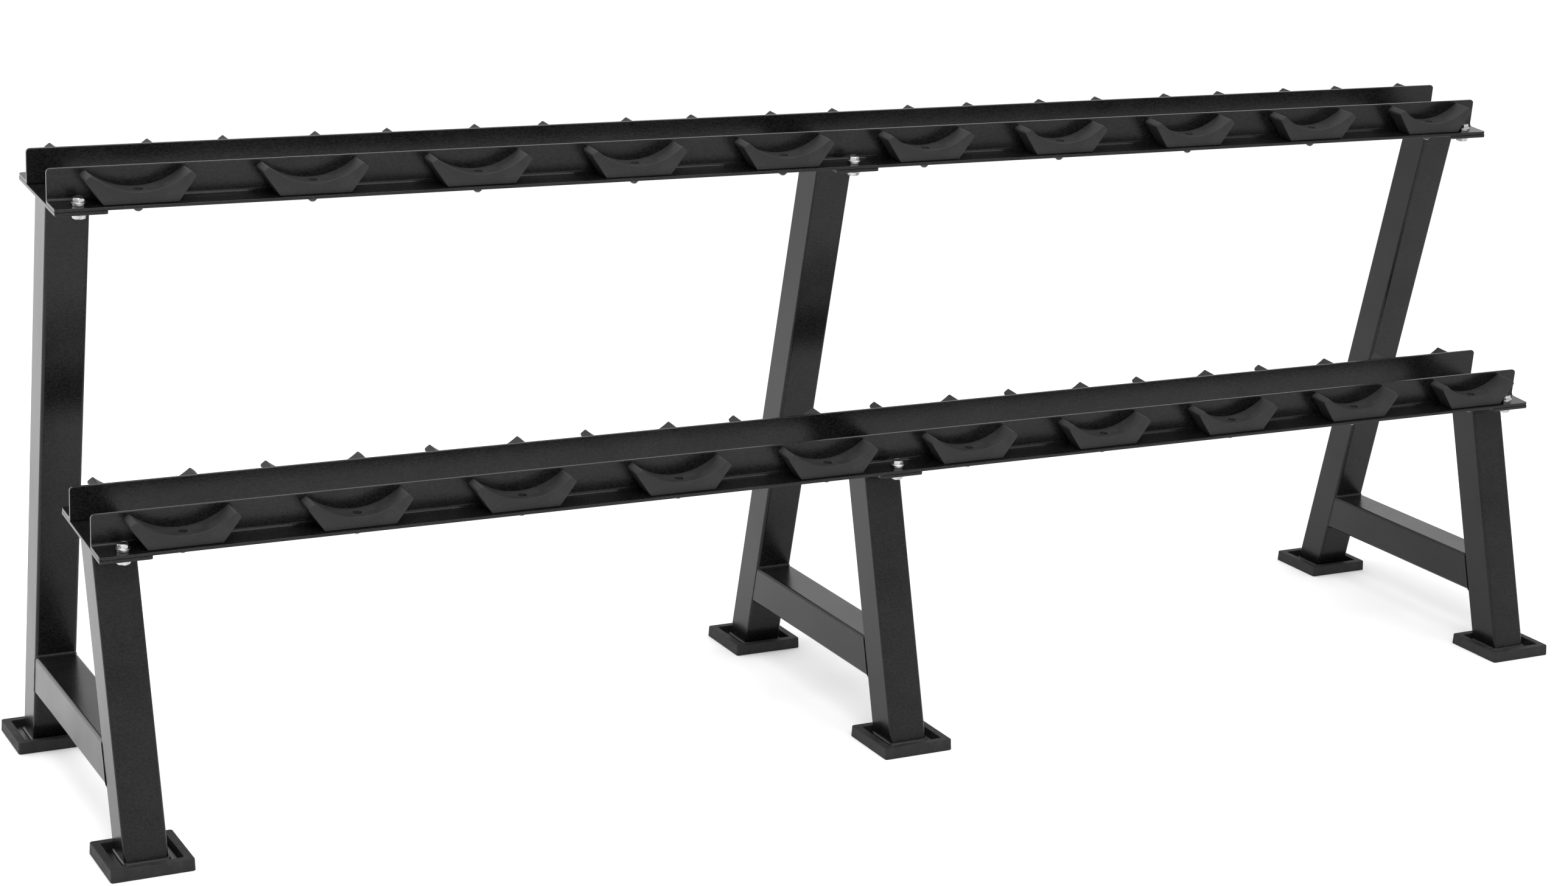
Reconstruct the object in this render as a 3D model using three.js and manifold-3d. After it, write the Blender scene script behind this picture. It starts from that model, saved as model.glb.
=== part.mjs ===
// Two-tier dumbbell rack: three welded A-shaped supports carry two shelves of
// steel angle, and each shelf holds ten dumbbells on pairs of moulded saddles.
//
// Millimetres. +X runs along the shelves, from the left support to the right
// one as seen from the front, -Y is the front and +Z is up. The origin lies on
// the floor under the middle of the rack.

import * as THREE from 'three';
import { mergeVertices, toCreasedNormals } from 'three/addons/utils/BufferGeometryUtils.js';
import Module from 'manifold-3d';

// ---- Driving dimensions ----

const GAP = 0.3; // between pieces that touch
const WELD_OVERLAP = 1; // how far a tube runs into the plate it is welded to
const THROUGH = 20; // spare length of every cutting tool

// Shelves: two steel angles each, on plates that lean down to the front
const RAIL_LENGTH = 2520;
const SHELF_DEPTH = 211;
const SHELF_TILT = THREE.MathUtils.degToRad(4.5);
const UPPER_SHELF = { name: 'upper', frontY: -57, frontZ: 887 };
const LOWER_SHELF = { name: 'lower', frontY: -238.5, frontZ: 434.5 };

const ANGLE_DEPTH = 50; // of the level leg
const ANGLE_HEIGHT = 52; // of the upright leg
const ANGLE_THICKNESS = 5;
const ANGLE_FILLET = 5; // inside the angle
const ANGLE_EDGE = 1.2; // rounding of the long edges
const ANGLE_CORNER = 6; // rounding of the end corners

// Supports: square tube legs with a plate welded to each end
const PLATE_LENGTH = 75; // along X
const PLATE_THICKNESS = 5;
const PLATE_CORNER = 4;
const TUBE = 63;
const TUBE_WALL = 3;
const TUBE_CORNER = 5;
const REAR_LEG = { floorY: 270, lean: -0.244 }; // lean is the shift in Y per mm of height
const FRONT_LEG = { floorY: -266.5, lean: 0.291 };
const BRACE_CENTRE_Z = 127;

// Feet: a steel plate under each leg, standing in a rubber tray
const FOOT_Y = 270;
const TRAY = 120;
const TRAY_HEIGHT = 18;
const TRAY_FLOOR = 5;
const TRAY_RIM = 14;
const TRAY_CORNER = 4;
const FOOT_PLATE = 86;
const FOOT_PLATE_THICKNESS = 4;
const FOOT_PLATE_CORNER = 3;
const VENT_DIAMETER = 14; // lets air out of the leg, under its foot plate

// Saddles: crescents of moulded plastic
const SADDLES_PER_RAIL = 10;
const SADDLE_PITCH = 254;
const SADDLE_SHIFT = { front: 6, rear: -3 }; // of each row from the middle of the rack
const SADDLE_FRONT = 6.5; // from the outer edge of the angle
const SADDLE_BOTTOM = 107;
const SADDLE_HOLLOW = 17; // height at the middle
const TIP_OUTER = { x: 79.5, z: 36.5, radius: 3.5 }; // where the flank meets the blunt end
const TIP_INNER = { x: 70.5, z: 43.5, radius: 2.5 }; // where the end meets the hollow

// Bolt holes
const FRAME_BOLT_HOLE = 11;
const FRAME_BOLT_INSET = 18; // from the outer edge of the angle
const SADDLE_BOLT_HOLE = 9;
const SADDLE_HEAD_HOLE = 14;
const SADDLE_HEAD_SEAT = 8; // height of the bolt head's seat in the saddle

// Facets
const HOLE_SIDES = 10;
const CORNER_STEPS = 3;
const TIP_STEPS = 4;
const HOLLOW_STEPS = 12;

// ---- Derived sizes ----

const SUPPORT_X = (RAIL_LENGTH - PLATE_LENGTH) / 2;
const SUPPORTS = [
  { name: 'left', x: -SUPPORT_X },
  { name: 'middle', x: 0 },
  { name: 'right', x: SUPPORT_X },
];
const SADDLE_X = { front: [], rear: [] };
for (let i = 0; i < SADDLES_PER_RAIL; i += 1) {
  const x = (i - (SADDLES_PER_RAIL - 1) / 2) * SADDLE_PITCH;
  SADDLE_X.front.push(x + SADDLE_SHIFT.front);
  SADDLE_X.rear.push(x + SADDLE_SHIFT.rear);
}
const RAIL_SEAT = PLATE_THICKNESS + GAP;
const SADDLE_SEAT = RAIL_SEAT + ANGLE_THICKNESS + GAP;
const SADDLE_DEPTH = ANGLE_DEPTH - ANGLE_THICKNESS - GAP - SADDLE_FRONT;
const FOOT_PLATE_BOTTOM = TRAY_FLOOR + GAP;
const FOOT_PLATE_TOP = FOOT_PLATE_BOTTOM + FOOT_PLATE_THICKNESS;
const LEG_BOTTOM = FOOT_PLATE_TOP - WELD_OVERLAP;

// ---- Materials ----

const BLACK_COAT = { color: 0x1b1b1c, roughness: 0.38, metalness: 0.0 };
const SADDLE_PLASTIC = { color: 0x3a3a3b, roughness: 0.7, metalness: 0.0 };
const FOOT_RUBBER = { color: 0x2c2c2d, roughness: 0.85, metalness: 0.0 };

// ---- Solids ----

const wasm = await Module();
wasm.setup();

function toSolid(geometry) {
  const bare = geometry.clone();
  bare.deleteAttribute('normal');
  bare.deleteAttribute('uv');
  const merged = mergeVertices(bare, 1e-4);
  const mesh = new wasm.Mesh({
    numProp: 3,
    vertProperties: new Float32Array(merged.attributes.position.array),
    triVerts: new Uint32Array(merged.index.array),
  });
  return new wasm.Manifold(mesh);
}

function toGeometry(solid) {
  const mesh = solid.getMesh();
  const geometry = new THREE.BufferGeometry();
  geometry.setAttribute('position', new THREE.BufferAttribute(mesh.vertProperties, 3));
  geometry.setIndex(new THREE.BufferAttribute(mesh.triVerts, 1));
  return toCreasedNormals(geometry, Math.PI / 6);
}

function makeMesh(name, geometry, look) {
  const mesh = new THREE.Mesh(geometry, new THREE.MeshStandardMaterial(look));
  mesh.name = name;
  return mesh;
}

// ---- Outlines ----

function arcPoints(centreX, centreY, radius, from, to, steps) {
  const points = [];
  for (let i = 0; i <= steps; i += 1) {
    const angle = from + ((to - from) * i) / steps;
    const x = centreX + radius * Math.cos(angle);
    const y = centreY + radius * Math.sin(angle);
    points.push(new THREE.Vector2(x, y));
  }
  return points;
}

// A rectangle about the origin with its four corners rounded
function roundedRectangle(width, height, radius) {
  const x = width / 2 - radius;
  const y = height / 2 - radius;
  const quarter = Math.PI / 2;
  return [
    ...arcPoints(x, -y, radius, -quarter, 0, CORNER_STEPS),
    ...arcPoints(x, y, radius, 0, quarter, CORNER_STEPS),
    ...arcPoints(-x, y, radius, quarter, 2 * quarter, CORNER_STEPS),
    ...arcPoints(-x, -y, radius, 2 * quarter, 3 * quarter, CORNER_STEPS),
  ];
}

// A ring between two rounded rectangles: the cut end of a square tube
function tubeSection(width, height) {
  const shape = new THREE.Shape(roundedRectangle(width, height, TUBE_CORNER));
  const innerWidth = width - 2 * TUBE_WALL;
  const innerHeight = height - 2 * TUBE_WALL;
  const hole = roundedRectangle(innerWidth, innerHeight, TUBE_CORNER - TUBE_WALL);
  shape.holes.push(new THREE.Path(hole));
  return shape;
}

// Section of the front angle: outer edge at 0, upright leg at the far side
function angleSection() {
  const foot = ANGLE_DEPTH - ANGLE_THICKNESS;
  const top = ANGLE_HEIGHT;
  const quarter = Math.PI / 2;
  const edge = ANGLE_EDGE;
  return [
    ...arcPoints(edge, edge, edge, 2 * quarter, 3 * quarter, CORNER_STEPS),
    new THREE.Vector2(ANGLE_DEPTH, 0),
    ...arcPoints(ANGLE_DEPTH - edge, top - edge, edge, 0, quarter, CORNER_STEPS),
    ...arcPoints(foot + edge, top - edge, edge, quarter, 2 * quarter, CORNER_STEPS),
    ...arcPoints(
      foot - ANGLE_FILLET,
      ANGLE_THICKNESS + ANGLE_FILLET,
      ANGLE_FILLET,
      0,
      -quarter,
      CORNER_STEPS,
    ),
    ...arcPoints(edge, ANGLE_THICKNESS - edge, edge, quarter, 2 * quarter, CORNER_STEPS),
  ];
}

// The arc that rounds the corner between two straight sides of an outline
function roundedCorner(before, corner, after, radius) {
  const back = new THREE.Vector2(before.x - corner.x, before.y - corner.y).normalize();
  const ahead = new THREE.Vector2(after.x - corner.x, after.y - corner.y).normalize();
  const half = Math.acos(back.dot(ahead)) / 2;
  const inward = back.clone().add(ahead).normalize();
  const centreX = corner.x + (inward.x * radius) / Math.sin(half);
  const centreY = corner.y + (inward.y * radius) / Math.sin(half);
  const middle = Math.atan2(-inward.y, -inward.x);
  const sweep = Math.PI / 2 - half;
  return arcPoints(centreX, centreY, radius, middle - sweep, middle + sweep, TIP_STEPS);
}

// Front view of a saddle: flat bottom, flared flanks, blunt tips, hollow top
function saddleOutline() {
  const foot = new THREE.Vector2(SADDLE_BOTTOM / 2, 0);
  const outer = new THREE.Vector2(TIP_OUTER.x, TIP_OUTER.z);
  const inner = new THREE.Vector2(TIP_INNER.x, TIP_INNER.z);

  // The hollow is the circle through both inner tip corners and its low point
  const rise = inner.y - SADDLE_HOLLOW;
  const radius = (inner.x ** 2 + rise ** 2) / (2 * rise);
  const reach = Math.asin(inner.x / radius);
  const down = -Math.PI / 2;
  const circle = arcPoints(
    0,
    SADDLE_HOLLOW + radius,
    radius,
    down + reach,
    down - reach,
    HOLLOW_STEPS,
  );
  const hollow = circle.slice(1, -1);

  const rightHalf = [
    foot,
    ...roundedCorner(foot, outer, inner, TIP_OUTER.radius),
    ...roundedCorner(outer, inner, hollow[0], TIP_INNER.radius),
  ];
  const leftHalf = rightHalf.map((point) => new THREE.Vector2(-point.x, point.y)).reverse();
  return [...rightHalf, ...hollow, ...leftHalf];
}

// ---- Geometry building blocks ----

function extrude(outline, depth) {
  const shape = Array.isArray(outline) ? new THREE.Shape(outline) : outline;
  return new THREE.ExtrudeGeometry(shape, { depth, steps: 1, bevelEnabled: false });
}

// A plate lying flat, centred on the origin in X and Y, from z = 0 upwards
function flatPlate(width, depth, thickness, corner) {
  return extrude(roundedRectangle(width, depth, corner), thickness);
}

// An upright cutting tool for a round hole
function holeTool(diameter, x, y, bottom, height) {
  const tool = new THREE.CylinderGeometry(diameter / 2, diameter / 2, height, HOLE_SIDES);
  tool.rotateX(Math.PI / 2);
  tool.translate(x, y, bottom + height / 2);
  return toSolid(tool);
}

// Places a solid drawn in a shelf's own frame: y back from its front edge,
// z up from the underside of its plates
function shelfMatrix(shelf) {
  const matrix = new THREE.Matrix4().makeRotationX(SHELF_TILT);
  return matrix.setPosition(0, shelf.frontY, shelf.frontZ);
}

// Height at which a leg's fibre that meets the floor at floorY enters the plate
function plateHeight(shelf, leg, floorY) {
  const slope = Math.tan(SHELF_TILT);
  const underside = shelf.frontZ + WELD_OVERLAP / Math.cos(SHELF_TILT);
  return (underside + slope * (floorY - shelf.frontY)) / (1 - slope * leg.lean);
}

// ---- Supports ----

// The leaning square tube of one leg, cut level below and along its plate above
function legTube(support, shelf, leg) {
  const levelDepth = TUBE * Math.hypot(1, leg.lean);
  const geometry = extrude(tubeSection(TUBE, levelDepth), 1);
  const position = geometry.attributes.position;
  for (let i = 0; i < position.count; i += 1) {
    const floorY = leg.floorY + position.getY(i);
    const atTop = position.getZ(i) > 0.5;
    const z = atTop ? plateHeight(shelf, leg, floorY) : LEG_BOTTOM;
    position.setXYZ(i, support.x + position.getX(i), floorY + leg.lean * z, z);
  }
  return toSolid(geometry);
}

// The plate under both angles of a shelf, with its two bolt holes
function topPlate(support, shelf) {
  const geometry = flatPlate(PLATE_LENGTH, SHELF_DEPTH, PLATE_THICKNESS, PLATE_CORNER);
  geometry.translate(support.x, SHELF_DEPTH / 2, 0);
  let plate = toSolid(geometry);
  for (const y of [FRAME_BOLT_INSET, SHELF_DEPTH - FRAME_BOLT_INSET]) {
    plate = plate.subtract(holeTool(FRAME_BOLT_HOLE, support.x, y, -THROUGH, 3 * THROUGH));
  }
  return plate.transform(shelfMatrix(shelf).toArray());
}

function footPlate(support, footY) {
  const thickness = FOOT_PLATE_THICKNESS;
  const geometry = flatPlate(FOOT_PLATE, FOOT_PLATE, thickness, FOOT_PLATE_CORNER);
  geometry.translate(support.x, footY, FOOT_PLATE_BOTTOM);
  return toSolid(geometry);
}

// One leg with the plates welded to its ends
function legWeldment(support, shelf, leg, footY) {
  const ventY = leg.floorY + leg.lean * LEG_BOTTOM;
  const vent = holeTool(VENT_DIAMETER, support.x, ventY, FOOT_PLATE_BOTTOM - 5, THROUGH);
  const solid = legTube(support, shelf, leg)
    .add(topPlate(support, shelf))
    .add(footPlate(support, footY))
    .subtract(vent);
  return toGeometry(solid);
}

// The level tube between the two legs, cut to their leaning faces
function braceTube(support) {
  const geometry = extrude(tubeSection(TUBE, TUBE), 1);
  const position = geometry.attributes.position;
  const frontHalf = (TUBE / 2) * Math.hypot(1, FRONT_LEG.lean);
  const rearHalf = (TUBE / 2) * Math.hypot(1, REAR_LEG.lean);
  for (let i = 0; i < position.count; i += 1) {
    const x = support.x + position.getX(i);
    const z = BRACE_CENTRE_Z + position.getY(i);
    const frontY = FRONT_LEG.floorY + FRONT_LEG.lean * z + frontHalf + GAP;
    const rearY = REAR_LEG.floorY + REAR_LEG.lean * z - rearHalf - GAP;
    const atFront = position.getZ(i) > 0.5;
    position.setXYZ(i, x, atFront ? frontY : rearY, z);
  }
  return toGeometry(toSolid(geometry));
}

function footTray(support, footY) {
  const inside = TRAY - 2 * TRAY_RIM;
  const outer = flatPlate(TRAY, TRAY, TRAY_HEIGHT, TRAY_CORNER);
  const recess = flatPlate(inside, inside, TRAY_HEIGHT, TRAY_CORNER);
  recess.translate(0, 0, TRAY_FLOOR);
  const geometry = toGeometry(toSolid(outer).subtract(toSolid(recess)));
  return geometry.translate(support.x, footY, 0);
}

// ---- Shelves ----

// Turns a section drawn in X, Y and extruded along Z so that it runs along X
function alongX(geometry) {
  const turn = new THREE.Matrix4().makeBasis(
    new THREE.Vector3(0, 1, 0),
    new THREE.Vector3(0, 0, 1),
    new THREE.Vector3(1, 0, 0),
  );
  return geometry.applyMatrix4(turn);
}

// The block that rounds the end corners of the level leg, seen from above,
// and of the upright leg, seen from the front
function railEnvelope() {
  const height = ANGLE_HEIGHT + THROUGH;
  const depth = ANGLE_DEPTH + THROUGH;
  const plan = flatPlate(RAIL_LENGTH, depth, 2 * height, ANGLE_CORNER);
  plan.translate(0, depth / 2, -height);
  const front = flatPlate(RAIL_LENGTH, height, 2 * height, ANGLE_CORNER);
  front.translate(0, ANGLE_HEIGHT - height / 2, -height);
  front.rotateX(Math.PI / 2);
  return toSolid(plan).intersect(toSolid(front));
}

// A steel angle of a shelf, from its outer edge at y = 0 back, with the holes
// of its saddles at the given places
function shelfRail(saddleX) {
  const bar = alongX(extrude(angleSection(), RAIL_LENGTH));
  bar.translate(-RAIL_LENGTH / 2, 0, 0);
  let rail = toSolid(bar).intersect(railEnvelope());
  for (const support of SUPPORTS) {
    const tool = holeTool(FRAME_BOLT_HOLE, support.x, FRAME_BOLT_INSET, -THROUGH, 2 * THROUGH);
    rail = rail.subtract(tool);
  }
  const saddleMiddle = SADDLE_FRONT + SADDLE_DEPTH / 2;
  for (const x of saddleX) {
    rail = rail.subtract(holeTool(SADDLE_BOLT_HOLE, x, saddleMiddle, -THROUGH, 2 * THROUGH));
  }
  return toGeometry(rail);
}

// Bevels the back lower edge of a saddle, clear of the fillet in the angle
function backEdgeTool() {
  const low = SADDLE_DEPTH - ANGLE_FILLET - 1;
  const out = SADDLE_DEPTH + 1;
  const outline = [
    new THREE.Vector2(low, -1),
    new THREE.Vector2(out, -1),
    new THREE.Vector2(out, ANGLE_FILLET + 1),
  ];
  const length = 2 * TIP_OUTER.x + THROUGH;
  return toSolid(alongX(extrude(outline, length)).translate(-length / 2, 0, 0));
}

// A saddle with its front face at y = 0 and its bolt hole down the middle
function saddle() {
  const block = extrude(saddleOutline(), SADDLE_DEPTH);
  block.rotateX(Math.PI / 2);
  block.translate(0, SADDLE_DEPTH, 0);
  const middle = SADDLE_DEPTH / 2;
  const solid = toSolid(block)
    .subtract(backEdgeTool())
    .subtract(holeTool(SADDLE_BOLT_HOLE, 0, middle, -THROUGH, 3 * THROUGH))
    .subtract(holeTool(SADDLE_HEAD_HOLE, 0, middle, SADDLE_HEAD_SEAT, 3 * THROUGH));
  return toGeometry(solid);
}

// A piece of the rear side is a front one turned half round about Z
function turned(geometry) {
  return geometry.clone().rotateZ(Math.PI).translate(0, SHELF_DEPTH, 0);
}

function buildShelf(shelf, railGeometries, saddleGeometry) {
  const group = new THREE.Group();
  group.position.set(0, shelf.frontY, shelf.frontZ);
  group.rotation.x = SHELF_TILT;
  for (const side of ['front', 'rear']) {
    const place = (geometry) => (side === 'front' ? geometry.clone() : turned(geometry));
    const railGeometry = place(railGeometries[side]);
    const rail = makeMesh(`rail_${shelf.name}_${side}`, railGeometry, BLACK_COAT);
    rail.position.z = RAIL_SEAT;
    group.add(rail);
    SADDLE_X[side].forEach((x, index) => {
      const number = String(index + 1).padStart(2, '0');
      const name = `saddle_${shelf.name}_${side}_${number}`;
      const piece = makeMesh(name, place(saddleGeometry), SADDLE_PLASTIC);
      piece.position.set(x, 0, SADDLE_SEAT);
      group.add(piece);
    });
  }
  return group;
}

function buildSupport(support) {
  const group = new THREE.Group();
  const rear = legWeldment(support, UPPER_SHELF, REAR_LEG, FOOT_Y);
  const front = legWeldment(support, LOWER_SHELF, FRONT_LEG, -FOOT_Y);
  group.add(makeMesh(`rear_leg_${support.name}`, rear, BLACK_COAT));
  group.add(makeMesh(`front_leg_${support.name}`, front, BLACK_COAT));
  group.add(makeMesh(`cross_brace_${support.name}`, braceTube(support), BLACK_COAT));
  const rearTray = footTray(support, FOOT_Y);
  const frontTray = footTray(support, -FOOT_Y);
  group.add(makeMesh(`foot_tray_rear_${support.name}`, rearTray, FOOT_RUBBER));
  group.add(makeMesh(`foot_tray_front_${support.name}`, frontTray, FOOT_RUBBER));
  return group;
}

// ---- Assembly ----

const group = new THREE.Group();
for (const support of SUPPORTS) {
  group.add(buildSupport(support));
}

const railGeometries = {
  front: shelfRail(SADDLE_X.front),
  rear: shelfRail(SADDLE_X.rear.map((x) => -x)), // turned half round when placed
};
const saddleGeometry = saddle().translate(0, SADDLE_FRONT, 0);
for (const shelf of [UPPER_SHELF, LOWER_SHELF]) {
  group.add(buildShelf(shelf, railGeometries, saddleGeometry));
}

export default group;
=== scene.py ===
"""The looks of a two-tier dumbbell rack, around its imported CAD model.

The CAD nodes of painted steel, moulded plastic and rubber are shown by finer
pieces with the same sizes, and the bolts, nuts and weld beads are added.

Sizes are in millimetres until a mesh is made. +X runs along the shelves to the
right as seen from the front, -Y is the front and +Z is up. A shelf has a frame
of its own: x along it, a back from its front edge and h up from the underside
of its plates.
"""

import math
import random

import bpy
from mathutils import Matrix, Vector, noise


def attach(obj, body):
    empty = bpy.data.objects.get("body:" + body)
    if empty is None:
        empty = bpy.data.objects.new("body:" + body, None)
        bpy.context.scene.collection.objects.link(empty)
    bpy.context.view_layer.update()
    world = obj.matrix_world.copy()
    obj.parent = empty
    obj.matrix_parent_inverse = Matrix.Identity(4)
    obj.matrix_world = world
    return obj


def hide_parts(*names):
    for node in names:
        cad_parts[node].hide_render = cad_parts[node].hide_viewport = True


MM = 0.001

# ---- Camera ----

CAMERA_PLACE = (-2254.31, -4257.22, 1727.71)
CAMERA_YAW = 0.5135  # to the right of straight back, in radians
CAMERA_PITCH = 0.2801  # downwards
CAMERA_ROLL = 0.0413
SENSOR_WIDTH = 36.0
LENS = 69.89
SHIFT_X = -0.0791
SHIFT_Y = 0.0344

# ---- Sizes of the CAD model ----

GAP = 0.3  # between solids that touch on the real rack

RAIL_LENGTH = 2520
SHELF_DEPTH = 211
SHELF_TILT = math.radians(4.5)

# Each shelf's front edge: y, and z at the underside of its plates.
SHELVES = {"upper": (-57.0, 887.0), "lower": (-238.5, 434.5)}

ANGLE_DEPTH = 50
ANGLE_HEIGHT = 52
ANGLE_THICKNESS = 5
ANGLE_FILLET = 5
ANGLE_EDGE = 1.2
ANGLE_CORNER = 6

PLATE_LENGTH = 75
PLATE_THICKNESS = 5
PLATE_CORNER = 4
TUBE = 63
TUBE_WALL = 3
TUBE_CORNER = 5
BRACE_CENTRE = 127.0

# Each leg's y at the floor, how far y moves as z rises by one, and its shelf.
LEGS = {"rear": (270.0, -0.244, "upper"), "front": (-266.5, 0.291, "lower")}

FOOT_Y = 270  # of the rear trays; the front ones lie as far forward
TRAY = 120
TRAY_HEIGHT = 18
TRAY_FLOOR = 5
TRAY_RIM = 14
TRAY_CORNER = 4
FOOT_PLATE = 86
FOOT_PLATE_THICKNESS = 4
FOOT_PLATE_CORNER = 3

SADDLES_PER_RAIL = 10
SADDLE_PITCH = 254
SADDLE_SHIFT = {"front": 6.0, "rear": -3.0}  # of a whole row, along x
SADDLE_FRONT = 6.5
SADDLE_BOTTOM = 107
SADDLE_HOLLOW = 17  # height of the hollow's lowest point
TIP_OUTER = (79.5, 36.5)  # the tip's two corners as (x, h above the seat)
TIP_OUTER_RADIUS = 3.5
TIP_INNER = (70.5, 43.5)
TIP_INNER_RADIUS = 2.5

FRAME_BOLT_HOLE = 11
FRAME_BOLT_INSET = 18
SADDLE_BOLT_HOLE = 9
SADDLE_HEAD_HOLE = 14
SADDLE_HEAD_SEAT = 8

SUPPORT_X = (RAIL_LENGTH - PLATE_LENGTH) / 2
SUPPORTS = {"left": -SUPPORT_X, "middle": 0.0, "right": SUPPORT_X}
FIRST_SADDLE = -(SADDLES_PER_RAIL - 1) / 2 * SADDLE_PITCH
SADDLE_X = {
    side: [FIRST_SADDLE + i * SADDLE_PITCH + shift for i in range(SADDLES_PER_RAIL)]
    for side, shift in SADDLE_SHIFT.items()
}
RAIL_SEAT = PLATE_THICKNESS + GAP
RAIL_TOP = RAIL_SEAT + ANGLE_THICKNESS
SADDLE_SEAT = RAIL_TOP + GAP
SADDLE_DEPTH = ANGLE_DEPTH - ANGLE_THICKNESS - GAP - SADDLE_FRONT
SADDLE_MIDDLE = SADDLE_FRONT + SADDLE_DEPTH / 2
FOOT_PLATE_BOTTOM = TRAY_FLOOR + GAP
FOOT_PLATE_TOP = FOOT_PLATE_BOTTOM + FOOT_PLATE_THICKNESS

# ---- Finer detail ----

FINE_STEPS = 6  # facets of a quarter round
EDGE_STEPS = 3  # facets of a small rounded edge
HOLE_SIDES = 32
HEAD_SIDES = 72  # of bolt heads and nuts, so that their six flats come out true
DRILL_FROM = -10  # a drilled hole's cutter runs from this height
DRILL_TO = 20
END_ROUND = 0.8  # at the cut ends of the rails
CORNER_STEPS = 8  # along a rail, over its rounded corners
SHORTEST_STEP = 0.05
PLATE_ROUND = 0.7
SADDLE_ROUND = 1.0
SADDLE_FOOT_RADIUS = 1.6
HOLLOW_STEPS = 40  # facets of a saddle's hollow
SMOOTH_ANGLE = math.radians(32)  # a sharper edge stays an edge

# ---- Sizes of the weld beads ----

WELD_STEP = 0.9  # between the cross sections of a bead
RIPPLE_LENGTH = 3.1
RIPPLE = 0.05
WANDER = 0.12  # how much a bead's width varies, as a part of it
WANDER_SCALE = 0.08
SEED_STEP = 7.3  # how far apart the beads lie in the noise
BEAD_STEPS = 4  # facets of a bead's face
CROWN = 0.55  # from 0, a flat bead, to 1, a round one
ROOT = 0.8  # how deep a bead's back lies in its tube
SUNK = 0.3  # how deep its foot lies in the plate
FOOT_BEAD = 3.4
TOP_BEAD = 4.0
BRACE_BEAD = 3.6
SIDE_DROP = 2.6  # how far a brace's bead sinks into the brace at its sides
SIDE_BACK = 2.0  # and into the leg

# ---- Sizes of the bolts, screws and nuts ----

CLEAR = 0.05  # between a fastener and what it lies on

FRAME_BOLT = 10
FRAME_BOLT_PITCH = 1.5
SPRING_INSIDE = 10.6
SPRING_OUTSIDE = 19.0
SPRING_TOP = 4.2
BOLT_FLANGE = 22.4
BOLT_FLATS = 15.6
BOLT_HEAD_HEIGHT = 7.8
NUT_FLANGE = 23.8
NUT_HEIGHT = 8.4
BOLT_BEYOND_NUT = 0.6

SADDLE_SCREW = 8
SADDLE_SCREW_PITCH = 1.25
SCREW_HEAD = 13.0
SCREW_HEAD_HEIGHT = 5.0
SOCKET_FLATS = 5.0
SOCKET_DEPTH = 3.2
SADDLE_WASHER_INSIDE = 8.6
SADDLE_WASHER_OUTSIDE = 16.0
SADDLE_WASHER_THICKNESS = 1.6
SADDLE_NUT_FLATS = 13.0
SADDLE_NUT_HEIGHT = 6.4
SCREW_BEYOND_NUT = 2.0


# ---- Outlines: lists of (x, y) ----


def arc(centre_x, centre_y, radius, start, end, steps):
    """Points from one angle to another, with both ends."""
    points = []
    for i in range(steps + 1):
        angle = start + (end - start) * i / steps
        x = centre_x + radius * math.cos(angle)
        y = centre_y + radius * math.sin(angle)
        points.append((x, y))
    return points


def rounded_rectangle(width, depth, radius, steps=FINE_STEPS):
    """A rectangle about the origin, anticlockwise."""
    x = width / 2 - radius
    y = depth / 2 - radius
    turn = math.pi / 2
    return (
        arc(x, -y, radius, -turn, 0, steps)
        + arc(x, y, radius, 0, turn, steps)
        + arc(-x, y, radius, turn, 2 * turn, steps)
        + arc(-x, -y, radius, 2 * turn, 3 * turn, steps)
    )


def circle(diameter, sides=HOLE_SIDES):
    points = arc(0, 0, diameter / 2, 0, 2 * math.pi, sides)
    return points[:-1]


def quarter_round(radius, steps):
    """Rounds an edge: pairs of depth from the face and inset of its outline."""
    pairs = []
    for i in range(steps + 1):
        angle = math.pi / 2 * i / steps
        depth = radius * (1 - math.cos(angle))
        pairs.append((depth, radius * (1 - math.sin(angle))))
    return pairs


def inset_outline(outline, distance):
    """Moves a closed anticlockwise outline inwards."""
    moved = []
    count = len(outline)
    for i, (x, y) in enumerate(outline):
        before = outline[i - 1]
        after = outline[(i + 1) % count]
        first = Vector((x - before[0], y - before[1])).normalized()
        second = Vector((after[0] - x, after[1] - y)).normalized()
        along = (first + second).normalized()
        reach = distance / max(along.dot(first), 0.4)
        moved.append((x - along.y * reach, y + along.x * reach))
    return moved


# ---- Meshes ----


class Shape:
    """Collects closed bodies, in millimetres, into one mesh."""

    def __init__(self):
        self.points = []
        self.faces = []

    def add_rings(self, rings):
        base = len(self.points)
        for ring in rings:
            self.points.extend(Vector(point) for point in ring)
        return base, len(rings[0])

    def stitch(self, first, second, count):
        """Joins two rings that start at these points."""
        for i in range(count):
            j = (i + 1) % count
            self.faces.append((first + i, first + j, second + j, second + i))

    def stack(self, rings):
        """A body through the rings, closed at both ends."""
        base, count = self.add_rings(rings)
        for i in range(len(rings) - 1):
            self.stitch(base + i * count, base + (i + 1) * count, count)
        last = base + (len(rings) - 1) * count
        self.faces.append(tuple(range(base + count - 1, base - 1, -1)))
        self.faces.append(tuple(range(last, last + count)))
        return self

    def closed_stack(self, rings):
        """A body whose last ring joins its first one."""
        base, count = self.add_rings(rings)
        for i in range(len(rings)):
            after = (i + 1) % len(rings)
            self.stitch(base + i * count, base + after * count, count)
        return self

    def mesh(self, name):
        mesh = bpy.data.meshes.new(name)
        mesh.from_pydata([point * MM for point in self.points], [], self.faces)
        mesh.validate()
        return mesh


def make_object(name, mesh):
    """A new object in the scene."""
    piece = bpy.data.objects.new(name, mesh)
    bpy.context.scene.collection.objects.link(piece)
    return piece


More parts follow.
